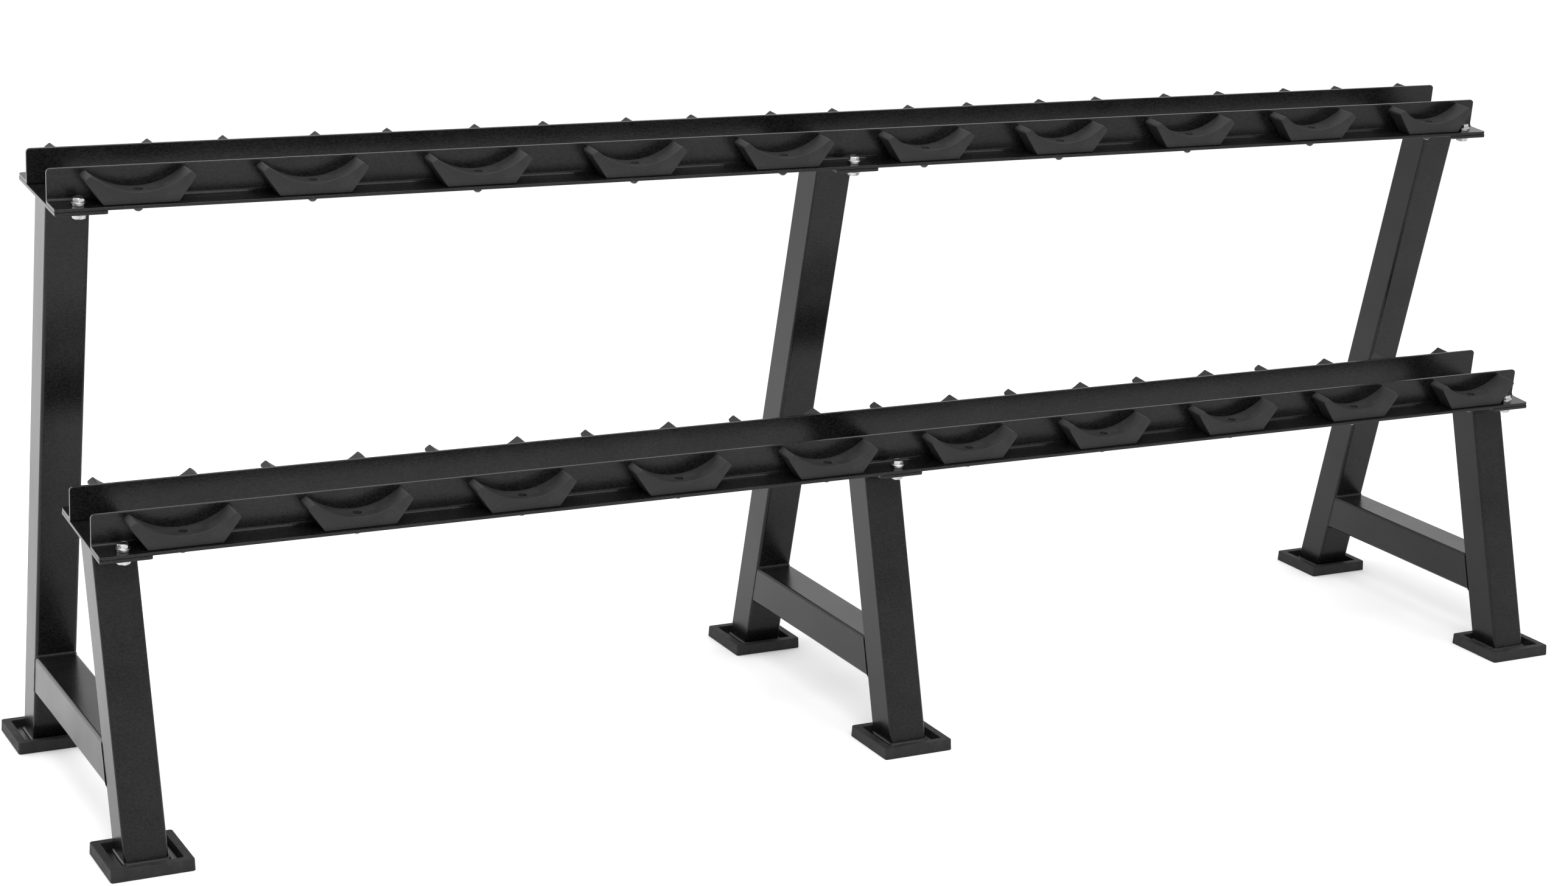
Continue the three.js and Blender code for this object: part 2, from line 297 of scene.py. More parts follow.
def cut_holes(mesh, cutter_shape):
    """The mesh less a cutter, made with a boolean on throwaway objects."""
    piece = make_object("being_cut", mesh)
    cutter = make_object("cutter", cutter_shape.mesh("cutter"))
    modifier = piece.modifiers.new("holes", "BOOLEAN")
    modifier.operation = "DIFFERENCE"
    modifier.solver = "EXACT"
    modifier.object = cutter
    bpy.context.view_layer.update()
    graph = bpy.context.evaluated_depsgraph_get()
    result = bpy.data.meshes.new_from_object(piece.evaluated_get(graph))
    bpy.data.objects.remove(piece)
    bpy.data.objects.remove(cutter)
    return result


def add_bar(shape, diameter, centre, bottom=DRILL_FROM, top=DRILL_TO):
    """A plain round bar, upright, for cutting a hole."""
    outline = circle(diameter)
    rings = []
    for z in (bottom, top):
        rings.append([(centre[0] + x, centre[1] + y, z) for x, y in outline])
    shape.stack(rings)


def finish_surface(mesh):
    """Smooth shading, broken only at real edges."""
    mesh.polygons.foreach_set("use_smooth", [True] * len(mesh.polygons))
    mesh.set_sharp_from_angle(angle=SMOOTH_ANGLE)
    return mesh


def show(name, mesh, material, matrix, replaces=None, flat=True):
    """Puts a piece into the scene, on the rack's one body."""
    piece = make_object(name, mesh)
    piece.matrix_world = matrix
    if not mesh.materials:
        mesh.materials.append(material)
    if flat:
        weighted = piece.modifiers.new("flat_faces", "WEIGHTED_NORMAL")
        weighted.keep_sharp = True
        weighted.weight = 100
    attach(piece, "root")
    if replaces:
        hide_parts(replaces)


# ---- Frames ----


def shelf_matrix(shelf):
    """From the shelf's frame to the rack's, in metres."""
    front_y, front_z = SHELVES[shelf]
    place = Matrix.Translation((0, front_y * MM, front_z * MM))
    return place @ Matrix.Rotation(SHELF_TILT, 4, "X")


def move(x, y, z):
    return Matrix.Translation((x * MM, y * MM, z * MM))


def spot(shelf, side, x, a, h):
    """A place on a shelf, a back from the outer edge of that side's rail.

    What stands on the rear side is turned half round.
    """
    along = shelf_matrix(shelf) @ move(x, 0, 0)
    if side == "rear":
        along = along @ move(0, SHELF_DEPTH, 0) @ Matrix.Rotation(math.pi, 4, "Z")
    return along @ move(0, a, h)


# ---- Rails ----


def angle_section(outer_inset, top_inset):
    """Section of a front rail as (a, h), anticlockwise."""
    foot = ANGLE_DEPTH - ANGLE_THICKNESS
    fillet = ANGLE_FILLET
    turn = math.pi / 2
    edge = ANGLE_EDGE
    low = outer_inset + edge
    high = ANGLE_HEIGHT - top_inset - edge
    steps = FINE_STEPS
    return (
        arc(low, edge, edge, 2 * turn, 3 * turn, steps)
        + arc(ANGLE_DEPTH - edge, edge, edge, -turn, 0, steps)
        + arc(ANGLE_DEPTH - edge, high, edge, 0, turn, steps)
        + arc(foot + edge, high, edge, turn, 2 * turn, steps)
        + arc(foot - fillet, ANGLE_THICKNESS + fillet, fillet, 0, -turn, steps)
        + arc(low, ANGLE_THICKNESS - edge, edge, turn, 2 * turn, steps)
    )


def rail_ring(distance, shrink):
    """The section at a distance from a rail's end, with its corners rounded."""
    radius = ANGLE_CORNER
    across = max(radius - distance, 0)
    inset = radius - math.sqrt(radius**2 - across**2)
    return inset_outline(angle_section(inset, inset), shrink)


def rail_end_stations():
    """Pairs of distance from the end and how far the section shrinks."""
    stations = quarter_round(END_ROUND, EDGE_STEPS)
    for distance, _ in quarter_round(ANGLE_CORNER, CORNER_STEPS):
        if distance > END_ROUND + SHORTEST_STEP:
            stations.append((distance, 0))
    return stations


def rail_mesh(saddle_places):
    """A front rail with the holes of its saddles at these places."""
    end = RAIL_LENGTH / 2
    rings = []
    stations = rail_end_stations()
    for distance, shrink in stations:
        section = rail_ring(distance, shrink)
        rings.append([(-end + distance, a, h) for a, h in section])
    for distance, shrink in reversed(stations):
        section = rail_ring(distance, shrink)
        rings.append([(end - distance, a, h) for a, h in section])
    bar = Shape().stack(rings).mesh("rail")
    cutter = Shape()
    for x in SUPPORTS.values():
        add_bar(cutter, FRAME_BOLT_HOLE, (x, FRAME_BOLT_INSET))
    for x in saddle_places:
        add_bar(cutter, SADDLE_BOLT_HOLE, (x, SADDLE_MIDDLE))
    return finish_surface(cut_holes(bar, cutter))


# ---- Plates and trays ----


def slab_rings(outline, bottom, top, middle=0):
    """Rings of a flat plate with rounded edges, its outline moved to y = middle."""
    levels = []
    for depth, inset in quarter_round(PLATE_ROUND, EDGE_STEPS):
        levels.append((bottom + depth, inset))
    for depth, inset in reversed(quarter_round(PLATE_ROUND, EDGE_STEPS)):
        levels.append((top - depth, inset))
    rings = []
    for z, inset in levels:
        rings.append([(x, y + middle, z) for x, y in inset_outline(outline, inset)])
    return rings


def top_plate_mesh():
    """The plate under a shelf, about the support's x, in the shelf's frame."""
    outline = rounded_rectangle(PLATE_LENGTH, SHELF_DEPTH, PLATE_CORNER)
    rings = slab_rings(outline, 0, PLATE_THICKNESS, SHELF_DEPTH / 2)
    plate = Shape().stack(rings).mesh("top_plate")
    cutter = Shape()
    for a in (FRAME_BOLT_INSET, SHELF_DEPTH - FRAME_BOLT_INSET):
        add_bar(cutter, FRAME_BOLT_HOLE, (0, a))
    return finish_surface(cut_holes(plate, cutter))


def foot_plate_mesh():
    """The plate in a tray, about the tray's middle."""
    outline = rounded_rectangle(FOOT_PLATE, FOOT_PLATE, FOOT_PLATE_CORNER)
    rings = slab_rings(outline, FOOT_PLATE_BOTTOM, FOOT_PLATE_TOP)
    return finish_surface(Shape().stack(rings).mesh("foot_plate"))


def tray_mesh():
    """A moulded tray: outside, rounded rim, recess and floor in one profile."""
    outside = TRAY / 2
    inside = TRAY / 2 - TRAY_RIM
    draft = 0.6
    low_edge = 1.0
    rim_edge = 1.3
    recess_edge = 1.0
    floor_edge = 0.9
    profile = [
        (outside - low_edge - draft, 0, TRAY_CORNER - low_edge),
        (outside - 0.3 * low_edge, 0.3 * low_edge, TRAY_CORNER),
        (outside, low_edge, TRAY_CORNER),
    ]
    for back, drop in quarter_round(rim_edge, FINE_STEPS):
        profile.append((outside - draft - back, TRAY_HEIGHT - drop, TRAY_CORNER))
    for back, drop in reversed(quarter_round(recess_edge, FINE_STEPS)):
        profile.append((inside + draft + back, TRAY_HEIGHT - drop, TRAY_CORNER))
    profile.append((inside, TRAY_FLOOR + floor_edge, TRAY_CORNER))
    profile.append((inside - floor_edge, TRAY_FLOOR, TRAY_CORNER))
    rings = []
    for half, z, corner in profile:
        outline = rounded_rectangle(2 * half, 2 * half, corner)
        rings.append([(x, y, z) for x, y in outline])
    return finish_surface(Shape().stack(rings).mesh("tray"))


# ---- Tubes of the supports ----


def leg_point(leg, x, local_y, z):
    """A point of a leg's level section at height z."""
    floor_y, lean, _ = LEGS[leg]
    return (x, floor_y + local_y + lean * z, z)


def plate_height(leg, local_y):
    """The height at which a line up a leg's side meets the top plate."""
    floor_y, lean, shelf = LEGS[leg]
    front_y, front_z = SHELVES[shelf]
    slope = math.tan(SHELF_TILT)
    rise = slope * (floor_y + local_y - front_y)
    return (front_z + rise) / (1 - slope * lean)


def leg_outline(leg, wall=0):
    """A leg's level section, longer in y because the leg leans."""
    lean = LEGS[leg][1]
    width = TUBE - 2 * wall
    return rounded_rectangle(width, width * math.hypot(1, lean), TUBE_CORNER - wall)


def hollow_bar(outer_rings, inner_rings, name):
    """A tube whose rings run up the outside and back down the inside."""
    shape = Shape()
    shape.closed_stack(outer_rings + inner_rings[::-1])
    return finish_surface(shape.mesh(name))


def leg_tube_mesh(leg):
    """The leaning tube of a leg, about the support's x."""

    def rings(outline):
        low = [leg_point(leg, x, y, FOOT_PLATE_TOP) for x, y in outline]
        high = [leg_point(leg, x, y, plate_height(leg, y)) for x, y in outline]
        return [low, high]

    outer = rings(leg_outline(leg))
    inner = rings(leg_outline(leg, TUBE_WALL))
    return hollow_bar(outer, inner, f"{leg}_leg_tube")


def leg_face(leg, z):
    """The y of the face of a leg that looks to the other leg."""
    floor_y, lean, _ = LEGS[leg]
    half = TUBE / 2 * math.hypot(1, lean)
    inwards = half if leg == "front" else -half
    return floor_y + lean * z + inwards


def brace_mesh():
    """The level tube between the legs, cut to their leaning faces."""

    def rings(outline):
        front = []
        rear = []
        for x, y in outline:
            z = BRACE_CENTRE + y
            front.append((x, leg_face("front", z) + GAP, z))
            rear.append((x, leg_face("rear", z) - GAP, z))
        return [rear, front]

    outer = rings(rounded_rectangle(TUBE, TUBE, TUBE_CORNER))
    width = TUBE - 2 * TUBE_WALL
    inner = rings(rounded_rectangle(width, width, TUBE_CORNER - TUBE_WALL))
    return hollow_bar(outer, inner, "brace")


# ---- Weld beads ----


def walk(outline, step):
    """Points spaced evenly round a closed outline, with outward normals."""
    count = len(outline)
    lengths = []
    for i in range(count):
        a = Vector(outline[i])
        b = Vector(outline[(i + 1) % count])
        lengths.append((b - a).length)
    total = sum(lengths)
    number = int(total / step)
    result = []
    side = 0
    passed = 0.0
    for k in range(number):
        at = total * k / number
        while passed + lengths[side] < at:
            passed += lengths[side]
            side += 1
        a = Vector(outline[side])
        b = Vector(outline[(side + 1) % count])
        along = (b - a).normalized()
        point = a + along * (at - passed)
        result.append((point, Vector((along.y, -along.x)), at))
    return result


def bead_ring(point, out, up, size, at, seed):
    """One cross section of a fillet bead: its toes lie on both surfaces."""
    ripple = RIPPLE * math.cos(2 * math.pi * at / RIPPLE_LENGTH)
    sample = point * WANDER_SCALE + Vector((0, 0, seed * SEED_STEP))
    wander = WANDER * noise.noise(sample)
    reach = size * (1 + wander)
    bulge = 1 + ripple + 0.5 * wander
    ring = [point - out * ROOT - up * SUNK]
    ring.append(point + out * reach - up * SUNK)
    for i in range(BEAD_STEPS + 1):
        angle = math.pi / 2 * i / BEAD_STEPS
        flat_x = reach * (1 - i / BEAD_STEPS)
        flat_y = reach * i / BEAD_STEPS
        round_x = reach * math.cos(angle)
        round_y = reach * math.sin(angle)
        x = flat_x + (round_x - flat_x) * CROWN * bulge
        y = flat_y + (round_y - flat_y) * CROWN * bulge
        ring.append(point + out * (x + 0.1 * bulge) + up * (y + 0.1 * bulge))
    ring.append(point - out * ROOT + up * reach)
    return ring


def foot_weld(leg, seed):
    """The bead round the foot of a leg, on its foot plate."""
    lean = LEGS[leg][1]
    up = Vector((0, lean, 1)).normalized()
    rings = []
    for flat, normal, at in walk(leg_outline(leg), WELD_STEP):
        point = Vector(leg_point(leg, flat.x, flat.y, FOOT_PLATE_TOP))
        out = Vector((normal.x, normal.y, 0))
        rings.append(bead_ring(point, out, up, FOOT_BEAD, at, seed))
    return finish_surface(Shape().closed_stack(rings).mesh("foot_weld"))


def top_weld(leg, seed):
    """The bead under a top plate, hanging down along the leg."""
    lean = LEGS[leg][1]
    down = -Vector((0, lean, 1)).normalized()
    rings = []
    for flat, normal, at in walk(leg_outline(leg), WELD_STEP):
        height = plate_height(leg, flat.y)
        point = Vector(leg_point(leg, flat.x, flat.y, height))
        slope = normal.y * math.tan(SHELF_TILT)
        out = Vector((normal.x, normal.y, slope)).normalized()
        ring = bead_ring(point, out, down, TOP_BEAD, at, seed)
        rings.append(ring[::-1])
    return finish_surface(Shape().closed_stack(rings).mesh("top_weld"))


def brace_weld(leg, seed):
    """The bead round one end of a brace: full above and below, low at the sides."""
    lean = LEGS[leg][1]
    inwards = 1 if leg == "front" else -1
    rings = []
    outline = rounded_rectangle(TUBE, TUBE, TUBE_CORNER)
    for flat, normal, at in walk(outline, WELD_STEP):
        z = BRACE_CENTRE + flat.y
        point = Vector((flat.x, leg_face(leg, z), z))
        out = Vector((normal.x, lean * normal.y, normal.y)).normalized()
        up = Vector((0, inwards, 0))
        beside = abs(normal.x)
        sunk = point - out * (SIDE_DROP * beside) - up * (SIDE_BACK * beside)
        ring = bead_ring(sunk, out, up, BRACE_BEAD, at, seed)
        rings.append(ring if inwards > 0 else ring[::-1])
    return finish_surface(Shape().closed_stack(rings).mesh("brace_weld"))


# ---- Saddles ----


def rounded_corner(before, corner, after, radius, steps=8):
    """The arc that rounds the corner between two straight sides."""
    corner = Vector(corner)
    back = (Vector(before) - corner).normalized()
    ahead = (Vector(after) - corner).normalized()
    half = back.angle(ahead) / 2
    inward = (back + ahead).normalized()
    centre = corner + inward * (radius / math.sin(half))
    middle = math.atan2(-inward.y, -inward.x)
    sweep = math.pi / 2 - half
    return arc(centre.x, centre.y, radius, middle - sweep, middle + sweep, steps)


def saddle_outline():
    """Front view of a saddle as (x, h above its seat), anticlockwise."""
    foot = (SADDLE_BOTTOM / 2, 0)
    rise = TIP_INNER[1] - SADDLE_HOLLOW
    radius = (TIP_INNER[0] ** 2 + rise**2) / (2 * rise)
    reach = math.asin(TIP_INNER[0] / radius)
    down = -math.pi / 2
    centre_h = SADDLE_HOLLOW + radius
    hollow = arc(0, centre_h, radius, down + reach, down - reach, HOLLOW_STEPS)[1:-1]
    right = rounded_corner((0, 0), foot, TIP_OUTER, SADDLE_FOOT_RADIUS, 4)
    right += rounded_corner(foot, TIP_OUTER, TIP_INNER, TIP_OUTER_RADIUS)
    right += rounded_corner(TIP_OUTER, TIP_INNER, hollow[0], TIP_INNER_RADIUS)
    left = [(-x, h) for x, h in reversed(right)]
    return right + hollow + left


def saddle_mesh():
    """A moulded saddle on its seat, its front face at a = SADDLE_FRONT."""
    outline = saddle_outline()
    stations = quarter_round(SADDLE_ROUND, EDGE_STEPS)
    clear = SADDLE_DEPTH - ANGLE_FILLET - 1  # behind it the fillet lifts the foot
    stations.append((clear, 0))
    for depth, shrink in reversed(quarter_round(SADDLE_ROUND, EDGE_STEPS)):
        stations.append((SADDLE_DEPTH - depth, shrink))
    rings = []
    for depth, shrink in stations:
        lowest = max(depth - clear, 0)
        ring = []
        for x, h in inset_outline(outline, shrink):
            ring.append((x, SADDLE_FRONT + depth, max(h, lowest)))
        rings.append(ring[::-1])
    block = Shape().stack(rings[::-1]).mesh("saddle")
    cutter = Shape()
    add_bar(cutter, SADDLE_BOLT_HOLE, (0, SADDLE_MIDDLE))
    drilled = cut_holes(block, cutter)
    head = Shape()
    above = TIP_INNER[1] + DRILL_TO
    add_bar(head, SADDLE_HEAD_HOLE, (0, SADDLE_MIDDLE), SADDLE_HEAD_SEAT, above)
    return finish_surface(cut_holes(drilled, head))


# ---- Bolts and nuts ----


def round_ring(diameter, z, sides=HEAD_SIDES):
    """A circle about the z axis as a ring of a body."""
    return [(x, y, z) for x, y in circle(diameter, sides)]


def hexagon_ring(flats, limit, z):
    """A hexagon that a cone of radius limit has cut back at its corners."""
    ring = []
    for i in range(HEAD_SIDES):
        angle = 2 * math.pi * i / HEAD_SIDES
        to_flat = (angle % (math.pi / 3)) - math.pi / 6
        radius = min(flats / 2 / math.cos(to_flat), limit)
        ring.append((radius * math.cos(angle), radius * math.sin(angle), z))
    return ring


def washer(shape, inside, outside, bottom, top, edge):
    """A flat ring about the z axis with its outer edges broken."""
    profile = [
        (inside, bottom),
        (outside - 2 * edge, bottom),
        (outside, bottom + edge),
        (outside, top - edge),
        (outside - 2 * edge, top),
        (inside, top),
    ]
    shape.closed_stack([round_ring(width, z, HOLE_SIDES) for width, z in profile])


def threaded_bar(shape, diameter, top, bottom, pitch):
    """A round bar about the z axis whose grooves stand for its thread."""
    radius = diameter / 2
    depth = 0.3 * pitch
    tip = 0.8
    profile = []
    z = top
    while z > bottom + pitch + tip:
        profile.append((radius - depth, z))
        profile.append((radius, z - pitch / 2))
        z -= pitch
    profile.append((radius - depth, z))
    profile.append((radius - 0.1, z - 0.4))
    profile.append((radius - 0.1, bottom + tip))
    profile.append((radius - 0.9, bottom))
    rings = [round_ring(2 * radius, z, HOLE_SIDES) for radius, z in reversed(profile)]
    shape.stack(rings)


def frame_bolt_shape():
    """A flanged hexagon bolt over a spring washer, with its flanged nut.

    z = 0 is the top of the rail's level leg.
    """
    shape = Shape()
    washer(shape, SPRING_INSIDE, SPRING_OUTSIDE, CLEAR, SPRING_TOP, 0.4)
    flange = SPRING_TOP + CLEAR
    head_top = flange + BOLT_HEAD_HEIGHT
    head = [
        round_ring(BOLT_FLANGE - 0.8, flange),
        round_ring(BOLT_FLANGE, flange + 0.4),
        round_ring(BOLT_FLANGE, flange + 1.2),
        round_ring(BOLT_FLANGE - 1.2, flange + 1.6),
        round_ring(BOLT_FLATS + 2.0, flange + 2.3),
        hexagon_ring(BOLT_FLATS, 8.6, flange + 2.6),
        hexagon_ring(BOLT_FLATS, 9.2, flange + 3.1),
        hexagon_ring(BOLT_FLATS, 9.2, head_top - 2.6),
        hexagon_ring(BOLT_FLATS, 8.7, head_top - 1.7),
        hexagon_ring(BOLT_FLATS, 8.1, head_top - 0.9),
        hexagon_ring(BOLT_FLATS, 7.1, head_top - 0.3),
        round_ring(BOLT_FLATS - 3.0, head_top - 0.1),
        round_ring(BOLT_FLATS - 4.6, head_top - 0.5),
    ]
    shape.stack(head)
    nut_top = -(ANGLE_THICKNESS + GAP + PLATE_THICKNESS) - CLEAR
    nut_low = nut_top - NUT_HEIGHT
    nut = [
        round_ring(NUT_FLANGE - 0.8, nut_top),
        round_ring(NUT_FLANGE, nut_top - 0.4),
        round_ring(NUT_FLANGE, nut_top - 1.6),
        round_ring(NUT_FLANGE - 0.8, nut_top - 2.2),
        hexagon_ring(19.4, 11.0, nut_top - 3.0),
        hexagon_ring(18.6, 10.4, nut_low + 2.4),
        hexagon_ring(18.4, 9.8, nut_low + 1.2),
        hexagon_ring(18.0, 9.0, nut_low + 0.4),
        round_ring(16.4, nut_low),
        round_ring(11.2, nut_low + 0.4),
    ]
    shape.stack(nut[::-1])
    bolt_low = nut_low - BOLT_BEYOND_NUT
    threaded_bar(shape, FRAME_BOLT, SPRING_TOP, bolt_low, FRAME_BOLT_PITCH)
    return shape


def saddle_screw_shape():
    """A low socket screw in the saddle; z = 0 is the seat of its head."""
    shape = Shape()
    top = SCREW_HEAD_HEIGHT
    rings = [
        round_ring(SCREW_HEAD - 0.6, CLEAR),
        round_ring(SCREW_HEAD, CLEAR + 0.3),
        round_ring(SCREW_HEAD, top - 0.8),
        round_ring(SCREW_HEAD - 1.4, top),
        hexagon_ring(SOCKET_FLATS + 0.4, 3.0, top),
        hexagon_ring(SOCKET_FLATS, 2.8, top - 0.3),
        hexagon_ring(SOCKET_FLATS, 2.8, top - SOCKET_DEPTH),
    ]
    shape.stack(rings)
    return shape


def saddle_nut_shape():
    """Washer and nut under the rail; z = 0 is the rail's underside."""
    shape = Shape()
    washer_low = -CLEAR - SADDLE_WASHER_THICKNESS
    washer(shape, SADDLE_WASHER_INSIDE, SADDLE_WASHER_OUTSIDE, washer_low, -CLEAR, 0.3)
    top = washer_low - CLEAR
    low = top - SADDLE_NUT_HEIGHT
    nut = [
        hexagon_ring(SADDLE_NUT_FLATS, 6.9, top),
        hexagon_ring(SADDLE_NUT_FLATS, 7.45, top - 0.6),
        hexagon_ring(SADDLE_NUT_FLATS, 7.45, low + 2.6),
        hexagon_ring(SADDLE_NUT_FLATS, 6.9, low + 2.0),
        round_ring(SADDLE_NUT_FLATS - 1.0, low + 1.7),
        round_ring(SADDLE_NUT_FLATS - 1.2, low + 0.5),
        round_ring(SADDLE_NUT_FLATS - 2.2, low),
        round_ring(8.8, low + 0.2),
    ]
    shape.stack(nut[::-1])
    return shape


def saddle_shank_shape():
    """The screw's shank from its head down past the nut; z = 0 as for the head."""
    shape = Shape()
    to_rail_underside = SADDLE_HEAD_SEAT + GAP + ANGLE_THICKNESS
    nut_stack = SADDLE_WASHER_THICKNESS + 2 * CLEAR + SADDLE_NUT_HEIGHT
    low = -(to_rail_underside + nut_stack + SCREW_BEYOND_NUT)
    threaded_bar(shape, SADDLE_SCREW, 0, low, SADDLE_SCREW_PITCH)
    return shape


# ---- Materials ----


# Sockets of a Mix node for colours, which shares their names with other kinds.
COLOUR_A = 6
COLOUR_B = 7
MIXED_COLOUR = 2


class Nodes:
    """Short forms for building a material's node tree."""

    def __init__(self, name):
        self.material = bpy.data.materials.new(name)
        self.material.use_nodes = True
        self.tree = self.material.node_tree
        self.shader = self.tree.nodes["Principled BSDF"]
        self.place = self.add("ShaderNodeTexCoord").outputs["Object"]

    def add(self, kind, **settings):
        node = self.tree.nodes.new(kind)
        for key, value in settings.items():
            setattr(node, key, value)
        return node

    def link(self, source, target):
        self.tree.links.new(source, target)

    def noise(self, scale, detail=2.0, roughness=0.5, stretch=None):
        node = self.add("ShaderNodeTexNoise")
        node.inputs["Scale"].default_value = scale
        node.inputs["Detail"].default_value = detail
        node.inputs["Roughness"].default_value = roughness
        place = self.place
        if stretch:
            mapping = self.add("ShaderNodeMapping")
            mapping.inputs["Scale"].default_value = stretch
            self.link(place, mapping.inputs["Vector"])
            place = mapping.outputs["Vector"]
        self.link(place, node.inputs["Vector"])
        return node.outputs["Fac"]

    def cells(self, scale):
        node = self.add("ShaderNodeTexVoronoi")
        node.inputs["Scale"].default_value = scale
        self.link(self.place, node.inputs["Vector"])
        return node.outputs["Distance"]

    def spread(self, value, low, high, start=0.3, end=0.7):
        """Maps a texture from start..end to low..high."""
        node = self.add("ShaderNodeMapRange")
        node.inputs["From Min"].default_value = start
        node.inputs["From Max"].default_value = end
        node.inputs["To Min"].default_value = low
        node.inputs["To Max"].default_value = high
        self.link(value, node.inputs["Value"])
        return node.outputs["Result"]

    def blend_colours(self, value, first, second):
        """Goes from the first colour to the second as the value goes from 0 to 1."""
        node = self.add("ShaderNodeMix", data_type="RGBA")
        node.inputs[COLOUR_A].default_value = (*first, 1)
        node.inputs[COLOUR_B].default_value = (*second, 1)
        self.link(value, node.inputs["Factor"])
        return node.outputs[MIXED_COLOUR]

    def combine(self, operation, first, second):
        node = self.add("ShaderNodeMath", operation=operation)
        self.link(first, node.inputs[0])
        self.link(second, node.inputs[1])
        return node.outputs["Value"]

    def bump(self, height, strength, distance, before=None):
        node = self.add("ShaderNodeBump")
        node.inputs["Strength"].default_value = strength
        node.inputs["Distance"].default_value = distance
        self.link(height, node.inputs["Height"])
        if before is not None:
            self.link(before, node.inputs["Normal"])
        return node.outputs["Normal"]

    def set(self, name, value):
        self.shader.inputs[name].default_value = value

    def feed(self, name, output):
        self.link(output, self.shader.inputs[name])


def powder_coat(name, peel_depth):
    """Black powder coat: orange peel, faint clouds of gloss and a little dust."""
    nodes = Nodes(name)
    clouds = nodes.noise(9.0, 4.0, 0.6)
    streaks = nodes.noise(6.0, 3.0, 0.6, stretch=(1.0, 1.0, 0.25))
    peel = nodes.noise(260.0, 3.0, 0.6)
    grit = nodes.noise(1300.0, 2.0, 0.6)
    dust = nodes.noise(430.0, 4.0, 0.75, stretch=(0.6, 1.0, 1.0))
    factor = nodes.spread(clouds, 0.0, 0.6)
    mottle = nodes.combine("ADD", factor, nodes.spread(dust, -0.5, 0.9))
    clean = (0.0012, 0.0012, 0.0013)
    dusty = (0.0105, 0.0105, 0.011)
    nodes.feed("Base Color", nodes.blend_colours(mottle, clean, dusty))
    gloss = nodes.spread(streaks, 0.19, 0.28)
    speckle = nodes.spread(grit, -0.03, 0.04)
    nodes.feed("Roughness", nodes.combine("ADD", gloss, speckle))
    nodes.set("IOR", 1.5)
    nodes.set("Specular IOR Level", 0.25)
    fine = nodes.bump(grit, 0.3, 0.00006)
    nodes.feed("Normal", nodes.bump(peel, 0.8, peel_depth, fine))
    return nodes.material


def saddle_plastic():
    """Dark grey moulded plastic with a fine spark-eroded grain and light scuffs."""
    nodes = Nodes("saddle_plastic")
    clouds = nodes.noise(22.0, 5.0, 0.62)
    scuffs = nodes.noise(60.0, 6.0, 0.7, stretch=(0.35, 1.0, 1.0))
    grain = nodes.noise(900.0, 3.0, 0.65)
    cells = nodes.cells(700.0)
    factor = nodes.spread(clouds, 0.1, 0.7, 0.36, 0.64)
    worn = nodes.spread(scuffs, 0.0, 0.5, 0.56, 0.8)
    speckle = nodes.spread(grain, -0.45, 0.45, 0.38, 0.62)
    shade = nodes.combine("ADD", nodes.combine("ADD", factor, worn), speckle)
    dark = (0.010, 0.010, 0.0104)
    scuffed = (0.025, 0.025, 0.0258)
    nodes.feed("Base Color", nodes.blend_colours(shade, dark, scuffed))
    nodes.feed("Roughness", nodes.spread(clouds, 0.5, 0.66))
    nodes.set("IOR", 1.46)
    nodes.set("Specular IOR Level", 0.28)
    rough_skin = nodes.bump(cells, 0.35, 0.00006)
    nodes.feed("Normal", nodes.bump(grain, 0.6, 0.0001, rough_skin))
    return nodes.material


def foot_rubber():
    """Black rubber, mottled, with pale scuffs where it has been handled."""
    nodes = Nodes("foot_rubber")
    mottle = nodes.noise(75.0, 6.0, 0.66)
    scuffs = nodes.noise(38.0, 8.0, 0.74, stretch=(1.0, 0.4, 1.0))
    grain = nodes.noise(1100.0, 3.0, 0.6)
    factor = nodes.spread(mottle, 0.0, 0.75, 0.38, 0.62)
    pale = nodes.spread(scuffs, 0.0, 0.8, 0.54, 0.7)
    shade = nodes.combine("ADD", factor, pale)
    dark = (0.006, 0.006, 0.0062)
    scuffed = (0.018, 0.018, 0.0183)
    nodes.feed("Base Color", nodes.blend_colours(shade, dark, scuffed))
    nodes.feed("Roughness", nodes.spread(mottle, 0.55, 0.8))
    nodes.set("IOR", 1.48)
    nodes.set("Specular IOR Level", 0.3)
    coarse = nodes.bump(mottle, 0.3, 0.0004)
    nodes.feed("Normal", nodes.bump(grain, 0.5, 0.0001, coarse))
    return nodes.material


def zinc():
    """Bright zinc plate on the bolts and nuts, a little uneven in colour."""
    nodes = Nodes("zinc_plate")
    cloud = nodes.noise(160.0, 4.0, 0.6)
    marks = nodes.noise(900.0, 3.0, 0.65)
    factor = nodes.spread(cloud, 0.0, 1.0)
    cool = (0.36, 0.365, 0.38)
    bright = (0.52, 0.52, 0.51)
    nodes.feed("Base Color", nodes.blend_colours(factor, cool, bright))
    nodes.set("Metallic", 1.0)
    nodes.feed("Roughness", nodes.spread(marks, 0.16, 0.32))
    nodes.feed("Normal", nodes.bump(marks, 0.2, 0.00005))
    return nodes.material


def black_steel():
    """Oxide-blackened steel of the saddle screws and their nuts."""
    nodes = Nodes("black_steel")
    cloud = nodes.noise(240.0, 4.0, 0.6)
    factor = nodes.spread(cloud, 0.0, 1.0)
    dark = (0.03, 0.03, 0.032)
    grey = (0.07, 0.07, 0.072)
    nodes.feed("Base Color", nodes.blend_colours(factor, dark, grey))
    nodes.set("Metallic", 1.0)
    nodes.feed("Roughness", nodes.spread(cloud, 0.32, 0.5))
    nodes.feed("Normal", nodes.bump(cloud, 0.3, 0.00008))
    return nodes.material


def pale_floor():
    """Plain and matt, so that it shows nothing but soft shadows."""
    nodes = Nodes("pale_floor")
    nodes.set("Base Color", (0.95, 0.95, 0.95, 1))
    nodes.set("Roughness", 0.9)
    nodes.set("Specular IOR Level", 0.0)
    return nodes.material


# ---- Building the rack ----


